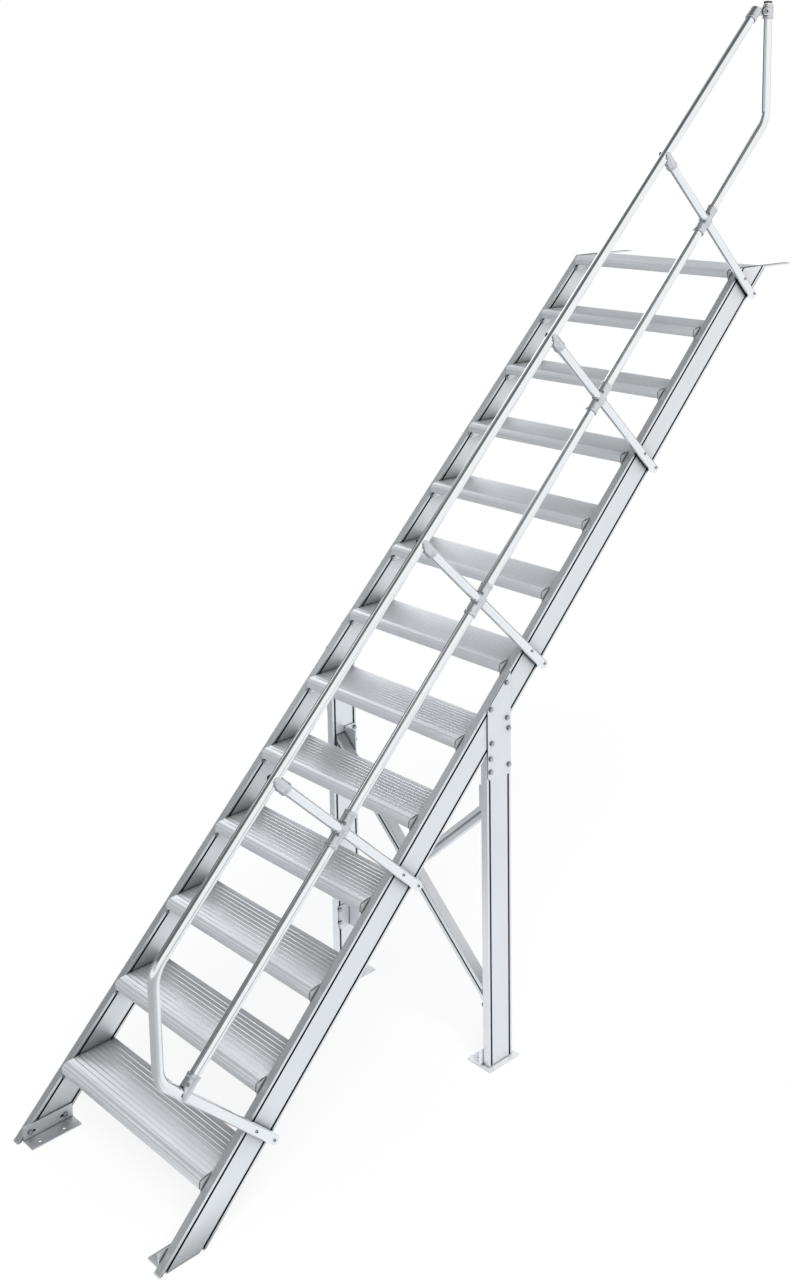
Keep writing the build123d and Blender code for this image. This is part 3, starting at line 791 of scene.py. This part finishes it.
# %% Screws in posts and fittings
def screw_rings(centres, way, size=1.0):
    """Rings from the seat over the dome and down into the socket, for every centre at once."""
    way = np.asarray(way, float) / np.linalg.norm(way)
    first = np.cross(way, VERTICAL)
    first /= np.linalg.norm(first)
    second = np.cross(way, first)
    angle = np.linspace(0.0, 2 * np.pi, 24, endpoint=False)
    radius = size * np.array([5.4, 5.4, 5.0, 4.0, 2.9, 2.5, 2.4])
    lift = size * np.array([-1.5, 0.9, 2.1, 3.0, 3.4, 3.2, 0.8])
    wheel = np.cos(angle)[:, None] * first + np.sin(angle)[:, None] * second
    shape = radius[:, None, None] * wheel + lift[:, None, None] * way
    return in_frame(np.asarray(centres, float)[:, None, None, :] + shape[None])


def on_round(stations, depth, way, radius):
    """Seats on tubes or sleeves whose middle lies at that depth: the radius away, along way."""
    way = np.asarray(way) / np.linalg.norm(way)
    return slope_point(np.asarray(stations), depth, TUBE_X) + radius * way


post_screws = np.concatenate([on_round(POSTS, dep, ACROSS, TUBE) for dep in (13.0, 101.0)])
skin("screws_in_posts", screw_rings(post_screws, ACROSS), zinc_metal)
OUT_OF_RAIL = ACROSS - INTO_RAIL
sleeve_screws = np.concatenate([
    on_round(POSTS[1:] - 19.0, -KNEE, OUT_OF_RAIL, 19.85),
    on_round(POSTS[1:] + 19.0, -KNEE, OUT_OF_RAIL, 19.85),
    on_round(POSTS[:1], -KNEE, OUT_OF_RAIL, 21.0),
    on_round(POSTS[:1] + 30.0, -KNEE, OUT_OF_RAIL, 20.4),
])
skin("screws_in_sleeves", screw_rings(sleeve_screws, OUT_OF_RAIL, 1.1), zinc_metal)
DOWN_SLOPE = ACROSS - UP_SLOPE
saddle_screws = on_round(POSTS[1:], -HAND, DOWN_SLOPE, 21.0)
skin("screws_in_saddles", screw_rings(saddle_screws, DOWN_SLOPE, 1.1), zinc_metal)
pivot = np.array([[TUBE_X + 14.8, PIVOT_Y, PIVOT_Z]])
skin("knuckle_pivot", screw_rings(pivot, ACROSS, 1.9), zinc_metal)

# %% [markdown]
# ## Studio
#
# The stair stands on a plain white floor that runs into a white room. Seen directly, by the camera
# or mirrored in metal, the room has strength 1, which is white. The floor mixes that white with a
# lit matt surface, so that the object's shadow stays on it. Bare metal in an all-white room would
# look like paper: it shows only what it mirrors. So cards hang round the stair, out of the picture,
# as a photographer would hang them, and darken the faces that look their way.

# %% White room
world = bpy.data.worlds.new("white room")
bpy.context.scene.world = world
world.use_nodes = True
room = world.node_tree
room.nodes.clear()


def seen_directly(tree):
    """1 for a ray from the camera, from a mirroring surface or through glass, else 0."""
    path = node(tree, "ShaderNodeLightPath")
    first = node(tree, "ShaderNodeMath", operation="MAXIMUM")
    tree.links.new(path.outputs["Is Camera Ray"], first.inputs[0])
    tree.links.new(path.outputs["Is Glossy Ray"], first.inputs[1])
    both = node(tree, "ShaderNodeMath", operation="MAXIMUM")
    tree.links.new(first.outputs[0], both.inputs[0])
    tree.links.new(path.outputs["Is Transmission Ray"], both.inputs[1])
    return both.outputs[0]


soft = node(room, "ShaderNodeBackground", Color=(0.93, 0.95, 1.0, 1), Strength=0.55)
white = node(room, "ShaderNodeBackground", Color=(1, 1, 1, 1), Strength=1.0)
blend = node(room, "ShaderNodeMixShader")
room.links.new(seen_directly(room), blend.inputs[0])
room.links.new(soft.outputs[0], blend.inputs[1])
room.links.new(white.outputs[0], blend.inputs[2])
room_out = node(room, "ShaderNodeOutputWorld")
room.links.new(blend.outputs[0], room_out.inputs["Surface"])

# %% White floor
floor_paint, floor_tree, floor_shader = new_finish("floor paint")
floor_shader.inputs["Base Color"].default_value = (0.9, 0.9, 0.9, 1)
floor_shader.inputs["Roughness"].default_value = 0.9
floor_glow = node(floor_tree, "ShaderNodeEmission", Color=(1, 1, 1, 1), Strength=1.0)
floor_mix = node(floor_tree, "ShaderNodeMixShader")
floor_share = node(floor_tree, "ShaderNodeMath", operation="MULTIPLY")
floor_tree.links.new(seen_directly(floor_tree), floor_share.inputs[0])
floor_share.inputs[1].default_value = 0.86
floor_tree.links.new(floor_share.outputs[0], floor_mix.inputs[0])
floor_tree.links.new(floor_shader.outputs[0], floor_mix.inputs[1])
floor_tree.links.new(floor_glow.outputs[0], floor_mix.inputs[2])
floor_tree.links.new(floor_mix.outputs[0], floor_tree.nodes["Material Output"].inputs["Surface"])


def stage_sheet(name, corners, finish):
    """A flat four-cornered sheet that belongs to the studio and not to the stair."""
    mesh = bpy.data.meshes.new(name)
    mesh.from_pydata([tuple(c) for c in corners], [], [(0, 1, 2, 3)])
    mesh.materials.append(finish)
    sheet = bpy.data.objects.new(name, mesh)
    bpy.context.scene.collection.objects.link(sheet)
    return sheet


stage_sheet("floor", [(-60, -60, 0), (60, -60, 0), (60, 60, 0), (-60, 60, 0)], floor_paint)

# %% [markdown]
# ## Cards that only the metal sees
#
# The left card does most of the work. It is grey where the front faces of the rails and the left
# side of every tube look, which gives the tubes their dark line, and it has bright windows: a
# broad low one further back for the flats of the lower treads, one above it for the upper treads,
# and a high one in front for the noses. Cards in front, behind the camera, and overhead are dark
# at the left and white at the right, so a tube goes from dark to light across its width. One at the
# back shades the upper side of the posts. The last lies over the floor and is white only behind and
# to the right, where the outer faces of the rails look; the noses of the treads look at its grey
# part. None of them is seen by the camera or throws a shadow.

# %% Cards
def span(tree, value, low, high, start, end):
    """A number that goes smoothly from low to high as value goes from start to end."""
    ramp = node(tree, "ShaderNodeMapRange", [("Value", value)], interpolation_type="SMOOTHSTEP")
    ramp.inputs["From Min"].default_value = start
    ramp.inputs["From Max"].default_value = end
    ramp.inputs["To Min"].default_value = low
    ramp.inputs["To Max"].default_value = high
    return ramp.outputs["Result"]


def weighted(tree, weights):
    """The sum of weight times coordinate over the sheet's own X, Y and Z."""
    place = node(tree, "ShaderNodeTexCoord")
    product = node(tree, "ShaderNodeVectorMath", operation="DOT_PRODUCT")
    tree.links.new(place.outputs["Object"], product.inputs[0])
    product.inputs[1].default_value = weights
    return product.outputs["Value"]


def joined(tree, levels, operation):
    """The least or the greatest of several numbers."""
    level = levels[0]
    for other in levels[1:]:
        pick = node(tree, "ShaderNodeMath", operation=operation)
        tree.links.new(level, pick.inputs[0])
        tree.links.new(other, pick.inputs[1])
        level = pick.outputs[0]
    return level


def glow_card(name, corners, groups):
    """A sheet that only mirroring surfaces see. A ramp is a row (weights, low, high, start, end);
    a group of ramps counts with its least, and the sheet shines with the greatest group."""
    paint, tree, shader = new_finish(name)
    tree.nodes.remove(shader)
    least = [
        joined(tree, [span(tree, weighted(tree, row[0]), *row[1:]) for row in group], "MINIMUM")
        for group in groups
    ]
    glow = node(tree, "ShaderNodeEmission", Color=(0.93, 0.97, 1.0, 1))
    tree.links.new(joined(tree, least, "MAXIMUM"), glow.inputs["Strength"])
    tree.links.new(glow.outputs[0], tree.nodes["Material Output"].inputs["Surface"])
    card = stage_sheet(name, corners, paint)
    card.visible_camera = False
    card.visible_diffuse = False
    card.visible_shadow = False
    card.visible_transmission = False


glow_card("left_card", [(-7, -7, 0.0), (-7, 22, 0.0), (-7, 22, 12), (-7, -7, 12)], [
    [((0, 1, 0), 0.2, 0.2, 0.0, 1.0)],
    [((0, -1, 1), 0.0, 0.5, 8.0, 10.0), ((0, 1, 0), 0.28, 0.5, -6.6, -3.0)],
    [((0, -1, 1), 1.6, 0.0, 3.0, 6.5), ((0, 1, 1), 1.6, 0.58, 10.5, 14.0),
     ((0, 1, 1), 0.0, 1.6, 5.0, 8.0)],
    [((0, -1, 1), 3.0, 0.0, -5.0, 0.5), ((0, 1, 1), 3.0, 0.0, 10.5, 13.5),
     ((0, 1, 1), 0.0, 3.0, 7.0, 9.0)],
    [((0, 1, 0), 0.0, 1.7, -4.6, -3.2), ((0, 1, 0), 1.7, 0.0, -1.8, -0.4),
     ((0, 0, 1), 0.0, 1.7, 4.8, 6.0), ((0, 0, 1), 1.7, 0.0, 6.8, 7.8)],
    [((0, 0, 1), 0.55, 0.0, 3.0, 4.2), ((0, 1, 0), 0.55, 0.0, -5.5, -4.0)],
])
glow_card("front_card", [(-7, -7, 2.5), (5.0, -7, 2.5), (5.0, -7, 12), (-7, -7, 12)],
          [[((1, 0, 0), 0.15, 1.0, 3.0, 5.0)], [((0, 0, 1), 0.62, 0.0, 4.5, 6.5)]])
glow_card("ceiling_card", [(-7, -7, 12), (5.0, -7, 12), (5.0, 22, 12), (-7, 22, 12)], [
    [((1, 0, 0), 0.15, 1.0, 3.0, 5.0)],
    [((-1, 0, 0), 0.15, 0.42, 4.0, 7.0)],
])
glow_card("rear_card", [(-7, 20, 0.0), (2.0, 20, 0.0), (2.0, 20, 5), (-7, 20, 5)],
          [[((1, 0, 0), 0.45, 1.0, 0.5, 2.0)]])
glow_card("floor_card", [(-12, -12, 0.003), (12, -12, 0.003), (12, 12, 0.003), (-12, 12, 0.003)],
          [[((-0.7, 1, 0), 0.6, 1.0, -1.2, 0.0), ((1, 2, 0), 0.5, 1.0, -0.9, 0.1)]])

# %% [markdown]
# ## One lamp
#
# A wide sun lights the matt share of the surfaces and throws the soft shadow on the floor. Its disc
# is so much brighter than the cards that its mirror image would burn white spots into the metal, so
# mirroring surfaces don't see it.

# %% Lamps
sun_data = bpy.data.lights.new("sun", "SUN")
sun_data.angle = math.radians(40)
sun_data.energy = 2.6
sun = bpy.data.objects.new("sun", sun_data)
sun.rotation_euler = (math.radians(42), 0, math.radians(63))
sun.visible_glossy = False
bpy.context.scene.collection.objects.link(sun)

# %% [markdown]
# ## Camera
#
# The photograph's upright tubes are parallel, so its lens was shifted rather than tilted. A large
# shift would throw the object out of the other views, so the camera here is tilted a little and
# shifted a little. Its place and angle were fitted with most weight on the feet and the cap, which
# fall close to their places in the photograph. The top treads come out a little lower than there.

# %% Camera
camera_data = bpy.data.cameras.new("camera")
camera_data.sensor_width = 36.0
camera_data.lens = 42.239
camera_data.shift_x = -0.12
camera_data.shift_y = -0.21
camera = bpy.data.objects.new("camera", camera_data)
camera.location = (3.4979, -2.0990, 3.2784)
camera.rotation_euler = (math.radians(90 - 9.594), 0, math.radians(43.273))
bpy.context.scene.collection.objects.link(camera)
bpy.context.scene.camera = camera
bpy.context.scene.view_settings.view_transform = "Standard"
